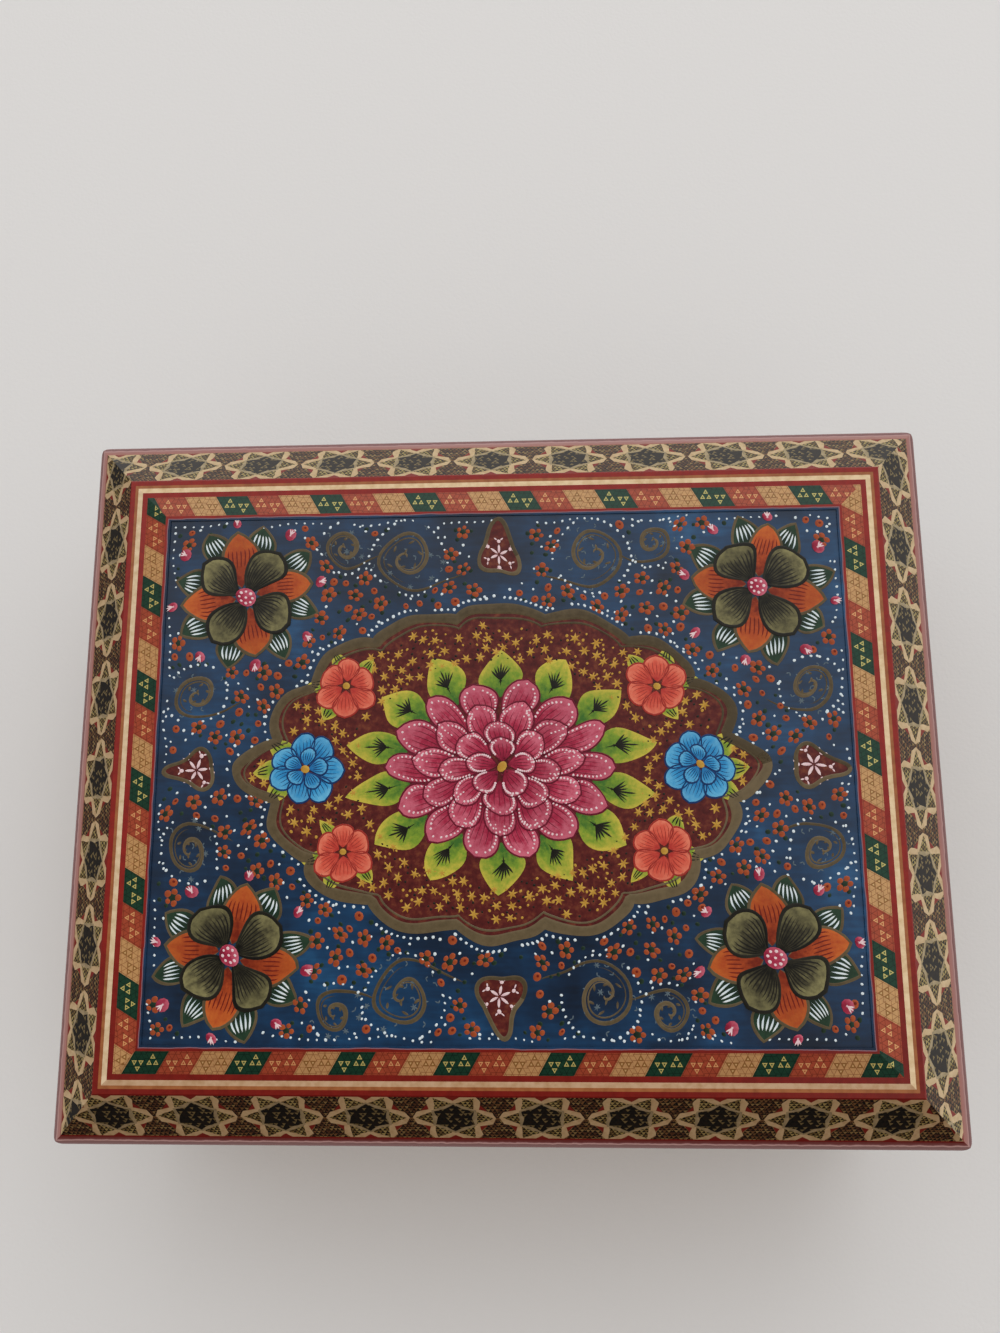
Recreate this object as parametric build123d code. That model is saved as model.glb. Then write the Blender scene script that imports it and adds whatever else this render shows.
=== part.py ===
from build123d import *
import math
import os

# A hinged wooden casket covered in star marquetry, with a bevelled lid that frames a painted panel.
# X runs left to right, Y front to back and Z up, in millimetres. The origin is on the ground under
# the middle of the box. Sections of the mitred strips are drawn as (inset, height): inset is the
# distance in from the outside face of that side, and height is above the ground.

# Closed box
length = 200.0
depth = 162.7
seam_height = 55.0
lid_height = 25.0
corner_radius = 3.0

# Carcass
veneer = 1.5
wall = 7.0
bottom_board = 5.0
felt = 1.0
felt_margin = 2.0
lining = 1.0
floor_pad = 1.5
lining_drop = 0.5
plinth_height = 6.0
plinth_round = 1.0

# Lid, from the outside face towards the painted panel
bead_width = 2.0
bead_fall = 1.6
bead_height = 4.0
bead_facets = 5
bevel_width = 11.5
bevel_rise = 10.7
outer_red_line = 1.0
tan_line = 0.7
bone_line = 1.1
middle_red_line = 1.2
stripe_width = 4.6
inner_red_line = 1.2
rail_land = 2.6
lid_board = 6.0
panel_recess = 0.3

# Star marquetry on the bevel
star_pitch = 18.5
star_gap = 0.5
inlay_depth = 0.8
mitre_border = 0.5
valley_reach = 0.68
inner_tip_reach = 0.82
inner_valley_reach = 0.54
star_offset = {"front": 8.2, "right": -4.7, "back": 2.0, "left": 1.1}

# Slanted blocks of the stripe band
block_length = 7.35
block_slant = 60.0
slant_sense = {"front": 1, "right": 1, "back": -1, "left": 1}
block_offset = {"front": 1.55, "right": -1.1, "back": -1.15, "left": 0.3}

# Hinges
hinge_length = 20.0
hinge_from_end = 40.0
knuckle_radius = 2.0
knuckle_gap = 0.2
knuckle_room = 0.3
pin_radius = 0.8
pin_play = 0.05
leaf_width = 5.6
leaf_thickness = 0.7
leaf_recess = 0.8
leaf_side_room = 0.1
open_angle = 100.0
stop_play = 1.0
nail_side = 1.2
nail_length = 6.0
nail_spacing = 12.0
nail_inset = 4.0

# Worked out from the sizes above
top = seam_height + lid_height
inner_face = veneer + wall
bevel_angle = math.degrees(math.atan2(bevel_rise, bevel_width))
bevel_foot = top - bevel_rise
bevel_top_inset = bead_width + bevel_width
tan_inset = bevel_top_inset + outer_red_line
bone_inset = tan_inset + tan_line
middle_red_inset = bone_inset + bone_line
stripe_inset = middle_red_inset + middle_red_line
inner_red_inset = stripe_inset + stripe_width
panel_inset = inner_red_inset + inner_red_line
rail_top_inset = bevel_top_inset + rail_land
slab_dx = veneer * math.sin(math.radians(bevel_angle))
slab_dz = veneer * math.cos(math.radians(bevel_angle))
slab_top_drop = veneer / math.cos(math.radians(bevel_angle)) - veneer
floor_level = felt + bottom_board
hinge_y = depth / 2 - knuckle_radius
run = {"front": length, "right": depth, "back": length, "left": depth}
turn = {"front": 0, "right": 90, "back": 180, "left": 270}


def reach(side):
    """Distance from the middle of the box to the outside face of a side."""
    return length / 2 if side in ("right", "left") else depth / 2


def mitre_prism(side, deepest):
    """Block that one side of a mitred frame may fill, down to an inset, with round upright corners."""
    half = run[side] / 2
    outer = -reach(side)
    corners = [(-half, outer), (half, outer), (half - deepest, outer + deepest), (deepest - half, outer + deepest)]
    plan = make_face(Polyline(*corners, close=True)) & RectangleRounded(2 * half, -2 * outer, corner_radius)
    return extrude(plan, top)


def place(part, side):
    """Turn a piece made for the front side onto its own side."""
    return Rot(0, 0, turn[side]) * part


def mitred(side, section):
    """Run a section along a side, mitre its ends and round the upright corner of the box."""
    frame = Plane(origin=(-run[side] / 2, -reach(side), 0), x_dir=(0, 1, 0), z_dir=(1, 0, 0))
    bar = extrude(frame * section, run[side])
    return place(bar & mitre_prism(side, section.bounding_box().max.X + 1), side)


def polygon(*points):
    """A face with straight edges through points given as (inset, height)."""
    return make_face(Polyline(*points, close=True))


def strip(start, end, low, high):
    """Rectangular section between two insets and two heights."""
    return polygon((start, low), (end, low), (end, high), (start, high))


def bevel_point(inset, below=0.0):
    """Point on the plane of the bevel, or on the plane that lies a slab's thickness below it."""
    slope = bevel_rise / bevel_width
    return (inset, bevel_foot + (inset - bead_width) * slope - below / math.cos(math.radians(bevel_angle)))


# Box

def box_groove():
    """Wedge cut from the back of the box below the seam, so that the opened lid has room to turn."""
    half_angle = math.radians((open_angle + stop_play) / 2)
    outer = 2 * knuckle_radius
    plane = Plane(origin=(-length, hinge_y, seam_height), x_dir=(0, 1, 0), z_dir=(1, 0, 0))
    wedge = polygon((0, 0), (outer, 0), (outer, -outer * math.tan(half_angle)))
    return extrude(plane * wedge, 2 * length)


def lid_groove():
    """The same wedge above the seam, cut from the back of the lid."""
    return mirror(box_groove(), about=Plane.XY.offset(seam_height))


def hinge_places():
    """Middle of each hinge along the back."""
    x = length / 2 - hinge_from_end
    return {"left": -x, "right": x}


def hinge_cut(side, up):
    """Room in the wood for one hinge: a round channel for the barrel and a housing for the leaf."""
    x = hinge_places()[side]
    span = hinge_length + 2 * leaf_side_room
    channel = Pos(x, hinge_y, seam_height) * Rot(0, 90, 0) * Cylinder(knuckle_radius + knuckle_room, span)
    reach_in = leaf_width + leaf_side_room
    housing = Pos(x, hinge_y - reach_in / 2, seam_height + up * leaf_recess / 2)
    return channel + housing * Box(span, reach_in, leaf_recess) + nails(side, up)


def box_wall(side):
    """One board of the carcass, from the felt to the seam."""
    board = mitred(side, strip(veneer, inner_face, felt, seam_height)) - box_groove()
    if side == "back":
        board -= [hinge_cut(hand, -1) for hand in hinge_places()]
    return board


def side_panel(side):
    """Marquetry sheet on the outside of a wall, from the plinth strip to the seam."""
    sheet = mitred(side, strip(0, veneer, felt + plinth_height, seam_height)) - box_groove()
    if side == "back":
        sheet -= [hinge_cut(hand, -1) for hand in hinge_places()]
    return sheet


def plinth(side):
    """Plain strip round the foot of the box, with its lower outside edge rounded."""
    section = strip(0, veneer, felt, felt + plinth_height)
    foot = section.vertices().sort_by_distance(Vector(0, felt, 0))[0]
    return mitred(side, fillet(foot, plinth_round))


def wall_lining(side):
    """Velvet-covered card on the inside of a wall, standing on the floor pad."""
    low = floor_level + floor_pad
    return mitred(side, strip(inner_face, inner_face + lining, low, seam_height - lining_drop))


def plate(inset, low, high):
    """Flat rectangular board that stays one inset inside the outline of the box."""
    return Pos(0, 0, low) * extrude(Rectangle(length - 2 * inset, depth - 2 * inset), high - low)


# Lid

def lid_rail(side):
    """Solid bevelled rail of the lid frame, chamfered inside and housed for the lid board."""
    board_seat = top - veneer - lid_board
    section = polygon(
        (veneer, seam_height),
        (inner_face, seam_height),
        (rail_top_inset, board_seat),
        (rail_top_inset, top - veneer),
        (bevel_top_inset + slab_top_shift(), top - veneer),
        bevel_point(veneer, veneer),
    )
    rail = mitred(side, section) - lid_groove()
    if side == "back":
        rail -= [hinge_cut(hand, 1) for hand in hinge_places()]
    return rail


def slab_top_shift():
    """How far in from the top of the bevel the underside of its slab meets the underside of the lines."""
    return slab_top_drop / math.tan(math.radians(bevel_angle))


def lid_skirt(side):
    """Marquetry sheet on the upright outside face of the lid, below the bead."""
    sheet = mitred(side, strip(0, veneer, seam_height, bevel_foot - bead_height)) - lid_groove()
    if side == "back":
        sheet -= [hinge_cut(hand, 1) for hand in hinge_places()]
    return sheet


def lid_bead(side):
    """Rounded wooden edging between the skirt and the bevel, rounded over a quarter of an ellipse."""
    low = bevel_foot - bead_height
    crown = []
    for step in range(bead_facets + 1):
        turned = math.pi / 2 * step / bead_facets
        crown.append((bead_width * (1 - math.sin(turned)), bevel_foot - bead_fall * (1 - math.cos(turned))))
    slab_foot = (bead_width + slab_dx, bevel_foot - slab_dz)
    return mitred(side, polygon(*crown, (0, low), (veneer, low), bevel_point(veneer, veneer), slab_foot))


def star_slab_section():
    """Section of the sloping slab that carries the stars."""
    return polygon(
        (bead_width, bevel_foot),
        (bead_width + slab_dx, bevel_foot - slab_dz),
        (bevel_top_inset + slab_top_shift(), top - veneer),
        (bevel_top_inset, top),
    )


def star_sketch():
    """Bone outline of one six-pointed star, left open inside for the dark star that it frames."""
    radius = (star_pitch - star_gap) / 2
    rim = []
    inside = []
    for tip in range(0, 360, 60):
        rim += [polar(radius, tip), polar(valley_reach * radius, tip + 30)]
        inside += [polar(inner_tip_reach * radius, tip), polar(inner_valley_reach * radius, tip + 30)]
    return make_face(Polyline(*rim, close=True)) - make_face(Polyline(*inside, close=True))


def polar(radius, angle):
    """Point at a radius and an angle in degrees."""
    return (radius * math.cos(math.radians(angle)), radius * math.sin(math.radians(angle)))


def star_field(side):
    """Trapezoid of the bevel that the stars may cover, in its own plane, clear of mitres and lines."""
    slope = math.radians(bevel_angle)
    low = -math.hypot(bevel_width, bevel_rise) / 2
    high = -low - inlay_depth * math.tan(slope / 2)
    half_run = run[side] / 2 - bead_width - bevel_width / 2
    border = mitre_border + inlay_depth * math.sin(slope)
    corners = []
    for height in (low, high):
        half = half_run - height * math.cos(slope) - border
        corners += [(-half, height), (half, height)]
    return make_face(Polyline(corners[0], corners[1], corners[3], corners[2], close=True))


def star_row(side):
    """The star inlays of one side, those at the corners cut off along the mitre."""
    middle = bead_width + bevel_width / 2
    foot = Plane(
        origin=(0, -reach(side) + middle, bevel_foot + bevel_rise / 2),
        x_dir=(1, 0, 0),
        z_dir=(0, -math.sin(math.radians(bevel_angle)), math.cos(math.radians(bevel_angle))),
    )
    half_run = run[side] / 2 - middle
    count = math.ceil(half_run / star_pitch) + 1
    places = [star_offset[side] + star_pitch * step for step in range(-count, count + 1)]
    star = star_sketch()
    field = star_field(side)
    stars = []
    for x in places:
        if abs(x) < half_run + star_pitch / 4:
            cut = (Pos(x, 0, 0) * star) & field
            stars += [place(foot * extrude(piece, -inlay_depth), side) for piece in cut.faces()]
    return stars


def star_band(side, stars):
    """Dark ground of the star band, with a recess for the bone outline of each star."""
    return mitred(side, star_slab_section()) - stars


def stripe_blocks(side):
    """Slanted blocks of three woods, edge to edge; a short remnant is joined to the last block."""
    lean = slant_sense[side] * stripe_width / 2 / math.tan(math.radians(block_slant))
    low = -reach(side) + stripe_inset
    high = low + stripe_width
    half_run = run[side] / 2 - stripe_inset
    count = math.ceil(half_run / block_length)
    joins = [block_offset[side] + step * block_length for step in range(-count, count + 1)]
    joins = [join for join in joins if abs(join) < half_run - block_length / 2]
    joins = [-half_run - stripe_width, *joins, half_run + stripe_width]
    band = mitred(side, strip(stripe_inset, inner_red_inset, top - veneer, top))
    blocks = []
    for start, end in zip(joins, joins[1:]):
        corners = [(start - lean, low), (end - lean, low), (end + lean, high), (start + lean, high)]
        block = Pos(0, 0, top - veneer) * extrude(make_face(Polyline(*corners, close=True)), veneer)
        blocks.append(place(block, side) & band)
    return blocks


def line(side, start, end):
    """One thin line of the lid's flat border."""
    return mitred(side, strip(start, end, top - veneer, top))


def outer_line(side):
    """The outermost line, bevelled on its outer edge to meet the sloping slab of stars."""
    low = top - veneer
    section = polygon(
        (bevel_top_inset + slab_top_shift(), low),
        (tan_inset, low),
        (tan_inset, top),
        (bevel_top_inset, top),
    )
    return mitred(side, section)


# Hinges

def barrel(x, span, radius):
    """Round bar along the hinge axis."""
    return Pos(x, hinge_y, seam_height) * Rot(0, 90, 0) * Cylinder(radius, span)


def nails(side, up):
    """Square-cut brass nails of one leaf, driven flush with its face."""
    x = hinge_places()[side]
    face = seam_height + up * (leaf_recess - leaf_thickness)
    shifts = (-nail_spacing / 2, nail_spacing / 2)
    nail = Box(nail_side, nail_side, nail_length)
    return [Pos(x + shift, hinge_y - nail_inset, face + up * nail_length / 2) * nail for shift in shifts]


def hinge_leaf(side, up):
    """Leaf of one hinge: the box leaf, up = -1, has the two outer knuckles and the lid leaf the middle one."""
    x = hinge_places()[side]
    third = hinge_length / 3
    face = seam_height + up * (leaf_recess - leaf_thickness)
    middle = face + up * leaf_thickness / 2
    leaf = Pos(x, hinge_y - leaf_width / 2, middle) * Box(hinge_length, leaf_width, leaf_thickness)
    clear = knuckle_radius + knuckle_room
    if up < 0:
        leaf -= barrel(x, third + knuckle_gap, clear)
        for hand in (-1, 1):
            leaf += barrel(x + hand * (third + knuckle_gap / 4), third - knuckle_gap / 2, knuckle_radius)
    else:
        for hand in (-1, 1):
            leaf -= barrel(x + hand * (third - knuckle_gap / 4), third + knuckle_gap / 2, clear)
        leaf += barrel(x, third - knuckle_gap, knuckle_radius)
    return leaf - barrel(x, hinge_length, pin_radius + pin_play) - nails(side, up)


def hinge_pin(side):
    """Pin through all three knuckles of one hinge."""
    return barrel(hinge_places()[side], hinge_length, pin_radius)


nodes = {}
for side in run:
    nodes[side + "_wall"] = [box_wall(side)]
    nodes[side + "_panel"] = [side_panel(side)]
    nodes[side + "_plinth_strip"] = [plinth(side)]
    nodes[side + "_lining"] = [wall_lining(side)]
    nodes["lid_" + side + "_rail"] = [lid_rail(side)]
    nodes["lid_" + side + "_skirt"] = [lid_skirt(side)]
    nodes["lid_" + side + "_bead"] = [lid_bead(side)]
    stars = star_row(side)
    nodes["star_band_" + side] = [star_band(side, stars)]
    nodes["star_inlay_" + side] = stars
    nodes["stripe_band_" + side] = stripe_blocks(side)
    nodes["bone_line_" + side] = [line(side, bone_inset, middle_red_inset)]

nodes["bottom_board"] = [plate(inner_face, felt, floor_level)]
nodes["base_felt"] = [plate(felt_margin, 0, felt)]
nodes["floor_lining"] = [plate(inner_face, floor_level, floor_level + floor_pad)]
nodes["lid_board"] = [plate(rail_top_inset, top - veneer - lid_board, top - veneer)]
nodes["lid_lining"] = [plate(rail_top_inset, top - veneer - lid_board - lining, top - veneer - lid_board)]
nodes["painted_panel"] = [plate(panel_inset, top - veneer, top - panel_recess)]

nodes["red_lines"] = []
for side in run:
    nodes["red_lines"].append(outer_line(side))
    nodes["red_lines"].append(line(side, middle_red_inset, stripe_inset))
    nodes["red_lines"].append(line(side, inner_red_inset, panel_inset))
nodes["tan_lines"] = [line(side, tan_inset, bone_inset) for side in run]

for hand in hinge_places():
    nodes[hand + "_hinge_box_leaf"] = [hinge_leaf(hand, -1)]
    nodes[hand + "_hinge_lid_leaf"] = [hinge_leaf(hand, 1)]
    nodes[hand + "_hinge_pin"] = [hinge_pin(hand)]
nodes["box_hinge_nails"] = [nail for hand in hinge_places() for nail in nails(hand, -1)]
nodes["lid_hinge_nails"] = [nail for hand in hinge_places() for nail in nails(hand, 1)]

os.makedirs("parts", exist_ok=True)
for name, parts in nodes.items():
    solids = [solid for part in parts for solid in part.solids()]
    export_step(Compound(children=solids), "parts/" + name + ".step")
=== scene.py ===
import math
from functools import partial, reduce

import bpy
import numpy as np
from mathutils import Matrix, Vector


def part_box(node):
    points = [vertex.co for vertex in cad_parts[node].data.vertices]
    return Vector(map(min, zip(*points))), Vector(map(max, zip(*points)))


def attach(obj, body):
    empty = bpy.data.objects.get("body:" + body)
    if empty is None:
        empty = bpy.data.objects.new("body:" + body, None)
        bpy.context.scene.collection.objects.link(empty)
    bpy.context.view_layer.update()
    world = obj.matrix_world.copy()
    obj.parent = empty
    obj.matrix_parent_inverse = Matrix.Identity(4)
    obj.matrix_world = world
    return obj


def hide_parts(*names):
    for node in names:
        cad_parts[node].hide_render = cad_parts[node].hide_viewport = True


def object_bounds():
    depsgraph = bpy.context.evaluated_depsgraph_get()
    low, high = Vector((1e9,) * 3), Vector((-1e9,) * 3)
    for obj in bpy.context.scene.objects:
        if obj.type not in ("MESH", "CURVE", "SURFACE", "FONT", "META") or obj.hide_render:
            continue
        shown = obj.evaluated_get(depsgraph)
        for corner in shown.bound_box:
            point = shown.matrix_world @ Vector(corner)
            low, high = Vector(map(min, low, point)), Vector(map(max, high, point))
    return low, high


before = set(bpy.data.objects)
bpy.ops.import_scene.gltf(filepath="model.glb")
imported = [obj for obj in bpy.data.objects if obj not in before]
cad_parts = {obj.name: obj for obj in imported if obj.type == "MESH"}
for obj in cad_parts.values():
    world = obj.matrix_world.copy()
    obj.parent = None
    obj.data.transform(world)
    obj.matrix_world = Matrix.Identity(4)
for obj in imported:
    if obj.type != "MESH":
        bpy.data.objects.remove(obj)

cad_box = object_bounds()

# A hinged wooden casket in star marquetry with a painted lid. Shapes are worked out in millimetres
# and turned to metres as a mesh is made. The frame's Z is up and its front is towards -Y.

MM = 0.001
SIDES = ("front", "right", "back", "left")
TURN = {"front": 0.0, "right": math.pi / 2, "back": math.pi, "left": 3 * math.pi / 2}


def low_high(node):
    """Lowest and highest corner of a CAD node, in millimetres."""
    return np.array(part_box(node)) / MM


def unit(angle):
    """Unit vectors at angles in radians."""
    return np.stack([np.cos(angle), np.sin(angle)], -1)


HALF = np.array(cad_box[1])[:2] / MM
TOP = cad_box[1][2] / MM
SEAM = low_high("front_wall")[1][2]
PLINTH_TOP = low_high("front_panel")[0][2]
BEVEL_FOOT_INSET = HALF[1] + low_high("star_band_front")[0][1]
OUTER_RED = 1.0
BEVEL_TOP_INSET = HALF[0] - low_high("tan_lines")[1][0] - OUTER_RED
BEVEL_FOOT = low_high("lid_front_bead")[1][2]
BEVEL_WIDTH = BEVEL_TOP_INSET - BEVEL_FOOT_INSET
BEVEL_RISE = TOP - BEVEL_FOOT
BEVEL_ANGLE = math.degrees(math.atan2(BEVEL_RISE, BEVEL_WIDTH))
SLOPE = math.hypot(BEVEL_RISE, BEVEL_WIDTH)
STRIPE_INSET = HALF[1] + low_high("stripe_band_front")[0][1]
STRIPE_WIDTH = np.ptp(low_high("stripe_band_front")[:, 1])
PANEL_LOW, PANEL_HIGH = low_high("painted_panel")


# Colours and shader helpers

def tint(code):
    """Linear RGBA of an sRGB hex colour such as "d9c49a"."""
    parts = np.array([int(code[i:i + 2], 16) for i in (0, 2, 4)]) / 255
    linear = np.where(parts <= 0.04045, parts / 12.92, ((parts + 0.055) / 1.055) ** 2.4)
    return (*linear, 1.0)


def add(kind, inputs, out=0, tree=None, **settings):
    """Add a shader node, in the tree of its links unless one is given; inputs are values or links by socket."""
    links = {key: value for key, value in inputs.items() if isinstance(value, bpy.types.NodeSocket)}
    tree = tree or next(iter(links.values())).id_data
    node = tree.nodes.new("ShaderNode" + kind)
    for key, value in settings.items():
        setattr(node, key, value)
    for key, value in inputs.items():
        if key in links:
            tree.links.new(value, node.inputs[key])
        else:
            node.inputs[key].default_value = value
    return node.outputs[out]


def calc(operation, *values):
    """A sum, a product or another operation on numbers."""
    return add("Math", dict(enumerate(values)), operation=operation)


def chain(operation, values):
    """One operation through several numbers."""
    return reduce(lambda one, other: calc(operation, one, other), values)


def vec(operation, *values):
    """An operation on vectors; a dot product or a length gives a number."""
    inputs = dict(zip((0, "Scale") if operation == "SCALE" else range(3), values))
    out = "Value" if operation in ("DOT_PRODUCT", "LENGTH") else 0
    return add("VectorMath", inputs, out, operation=operation)


def joined(*parts):
    """A vector from its parts."""
    return add("CombineXYZ", dict(enumerate(parts)))


def parts_of(vector):
    """The three parts of a vector."""
    return add("SeparateXYZ", {0: vector}).node.outputs


def per(size):
    """Scale of a pattern, per metre, from its size in millimetres."""
    return 1 / (size * MM)


def stretched(place, *sizes):
    """Places for a pattern drawn out to a width, depth and height in millimetres."""
    return add("Mapping", {"Vector": place, "Scale": tuple(per(size) for size in sizes)})


def noise(place, scale, detail, roughness=0.5, out=0):
    """Soft blotches."""
    inputs = {"Vector": place, "Scale": scale, "Detail": detail, "Roughness": roughness}
    return add("TexNoise", inputs, out)


def fade(value, low, high, top=1.0):
    """Climb from 0 to the top as a value goes from low to high."""
    return add("MapRange", {"Value": value, "From Min": low, "From Max": high, "To Max": top})


def bumps(height, depth, strength=1.0):
    """Normals of a relief with a depth in millimetres."""
    return add("Bump", {"Height": height, "Distance": depth * MM, "Strength": strength})


def material(name):
    """An empty node material, and the place on its object in metres."""
    made = bpy.data.materials.new(name)
    made.use_nodes = True
    made.node_tree.nodes.clear()
    return made, add("TexCoord", {}, "Object", made.node_tree)


def finish_surface(inputs):
    """Close a material with one Principled surface."""
    surface = add("BsdfPrincipled", inputs, "BSDF")
    tree = surface.id_data
    output = tree.nodes.new("ShaderNodeOutputMaterial")
    tree.links.new(surface, output.inputs["Surface"])


def ramp(factor, stops, interpolation="LINEAR"):
    """Colours along a factor, as {position: hex}."""
    colour = add("ValToRGB", {"Fac": factor})
    scale = colour.node.color_ramp
    scale.interpolation = interpolation
    while len(scale.elements) < len(stops):
        scale.elements.new(0.5)
    for element, (position, code) in zip(scale.elements, stops.items()):
        element.position = position
        element.color = tint(code)
    return colour


def mixed(mask, below, above, blend="MIX"):
    """Colour above where the mask is 1, below where it is 0; each is a hex code or a socket."""
    sides = {6: below, 7: above}
    inputs = {key: tint(value) if isinstance(value, str) else value for key, value in sides.items()}
    return add("Mix", {"Factor": mask, **inputs}, 2, data_type="RGBA", blend_type=blend)


def varnish(colour, coat=0.6):
    """Clear lacquer over marquetry and paint, with a slow ripple left by the brush and the rag."""
    place = add("TexCoord", {}, "Object", colour.id_data)
    ripple = noise(place, per(6), 3.0)
    finish_surface({
        "Base Color": colour,
        "Roughness": 0.6,
        "Specular IOR Level": 0.0,
        "Coat Weight": coat,
        "Coat Roughness": 0.14,
        "Coat IOR": 1.5,
        "Coat Normal": bumps(ripple, 0.02),
    })


# Marquetry

STAR_PITCH = 18.5
STAR_ROW = STAR_PITCH * math.sqrt(3) / 2
STAR_RADIUS = 8.95
STAR_OFFSET = {"front": 8.2, "right": -4.7, "back": 2.0, "left": 1.1}
ROD = 0.95
STAR_TIP = (1.0, 0.0)
STAR_SHOULDER = (0.9, 0.23)
STAR_VALLEY = (0.593, 0.342)
ARM_TIP = (0.93, 0.0)
ARM_CORNER = (0.53, 0.245)
CAP_TIP = (0.42, 0.0)
HEART_POINT = (0.476, 0.275)
# How far the red wedges reach from the star's middle: between two stars, and towards the edge of the sheet
WEDGE_REACH = (0.81, 0.94)
BLOCK = 7.35
BLOCK_SLANT = 60.0
# Slant, first green join and order of the blocks on each side of the lid
BLOCK_LAY = {"front": (1, 8.9, 1), "right": (1, -1.1, 1), "back": (-1, -1.2, -1), "left": (1, 0.3, 1)}
# Green, orange and tan: the wood of the blocks, the net scribed in it, and the rims and middles of the triangles
BLOCK_WOODS = (
    ("1c3f30", "a34b35", "c29868"), ("10261d", "6f2c1d", "8a5c38"),
    ("c4b970", "dca06c", "8d6636"), ("31513a", "a8553a", "cfaa78"))
# Wood of the rods by chance: the dark ones, then the light ones of the ground, the arms and the hearts
ROD_WOODS = (
    {0: "120c07", 0.5: "22160d", 0.8: "170f08"}, {0: "563824", 0.35: "765636", 0.72: "927b53"},
    {0: "a89a66", 0.65: "78653c"}, {0: "776b4a", 0.38: "1c1913"})
BONE, RED, WEDGE_RED, MAUVE = "d5c19f", "861d18", "80261e", "84605f"


def laid_on(place, side, inset, height, tilt):
    """Millimetres along a side, up its face and out of it, from the middle of a line on that face."""
    turn = TURN[side]
    reach = (HALF[0] if side in ("right", "left") else HALF[1]) - inset
    origin = (reach * math.sin(turn) * MM, -reach * math.cos(turn) * MM, height * MM)
    inputs = {"Vector": place, "Location": origin, "Rotation": (math.radians(tilt), 0, turn), "Scale": (MM, MM, MM)}
    return add("Mapping", inputs, vector_type="TEXTURE")


def saw_cut(spot, first, second):
    """1 on the left of the straight cut from the first point to the second."""
    run = np.subtract(second, first)
    normal = np.array([-run[1], run[0]]) / np.hypot(*run)
    side = vec("DOT_PRODUCT", spot, (*normal, 0))
    return calc("GREATER_THAN", side, float(normal @ np.array(first)))


def rods(spot):
    """Ends of three-sided rods in a bundle: 1 on those that point down, and a number for each."""
    skew = ((1 / ROD, -1 / (ROD * math.sqrt(3)), 0), (0, 2 / (ROD * math.sqrt(3)), 0))
    steps = [vec("DOT_PRODUCT", spot, way) for way in skew]
    total = calc("ADD", *[calc("FRACT", step) for step in steps])
    down = calc("GREATER_THAN", total, 1.0)
    cell = joined(*[calc("FLOOR", step) for step in steps], down)
    return down, add("TexWhiteNoise", {"Vector": cell}, "Value", noise_dimensions="3D")


def star_field(spot):
    """Six-pointed bone stars on a triangular net, with checkered arms and hearts and red wedges between."""
    cell = (STAR_PITCH / 2, STAR_ROW, 1e4)
    opposite = tuple(-reach for reach in cell)
    shifted = vec("SUBTRACT", spot, (*cell[:2], 0))
    nets = [vec("WRAP", way, cell, opposite) for way in (spot, shifted)]
    straight_far, shifted_far = (vec("LENGTH", way) for way in nets)
    nearer = calc("LESS_THAN", shifted_far, straight_far)
    local = add("Mix", {"Factor": nearer, 4: nets[0], 5: nets[1]}, 1, data_type="VECTOR")
    wobble = vec("SUBTRACT", noise(spot, 0.25, 1.0, out="Color"), (0.5, 0.5, 0.5))
    local = vec("MULTIPLY_ADD", wobble, (0.9, 0.9, 0), local)
    split = parts_of(local)
    angle = calc("PINGPONG", calc("ARCTAN2", split[1], split[0]), math.pi / 6)
    far = vec("LENGTH", vec("MULTIPLY", local, (1, 1, 0)))
    arm = joined(*[calc(way, angle) for way in ("COSINE", "SINE")])
    arm = vec("SCALE", arm, calc("DIVIDE", far, STAR_RADIUS))

    down, chance = rods(local)
    dark, *light = [ramp(chance, stops, "CONSTANT") for stops in ROD_WOODS]
    ground, arms, heart = (mixed(down, dark, wood) for wood in light)

    valley = unit(math.pi / 6)
    aside = np.array([-valley[1], valley[0]])
    cut = partial(saw_cut, arm)
    shallow, deep = (cut(reach * valley, reach * valley + aside) for reach in WEDGE_REACH)
    upright = saw_cut(vec("ABSOLUTE", local), (0, 0), valley[::-1])
    wedge = calc("MAXIMUM", shallow, calc("MULTIPLY", deep, upright))
    wedge = calc("MULTIPLY", wedge, cut((0, 0), STAR_SHOULDER))
    blade = cut(STAR_SHOULDER, STAR_TIP)
    blade_foot = cut(STAR_VALLEY, STAR_SHOULDER)
    star = calc("SUBTRACT", 1.0, calc("MAXIMUM", blade, blade_foot))
    past_base = cut((ARM_CORNER[0], 1), (ARM_CORNER[0], 0))
    in_arm = calc("MULTIPLY", cut(ARM_TIP, ARM_CORNER), past_base)
    in_heart = cut(CAP_TIP, HEART_POINT)

    bone_tone = noise(local, 0.6, 2.0)
    bone = mixed(past_base, ramp(bone_tone, {0.3: "8d8268", 0.7: "b0a284"}),
                 ramp(bone_tone, {0.3: "bea682", 0.7: BONE}))
    look = ground
    for mask, above in ((wedge, WEDGE_RED), (star, bone), (in_arm, arms), (in_heart, heart)):
        look = mixed(mask, look, above)
    return look


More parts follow.
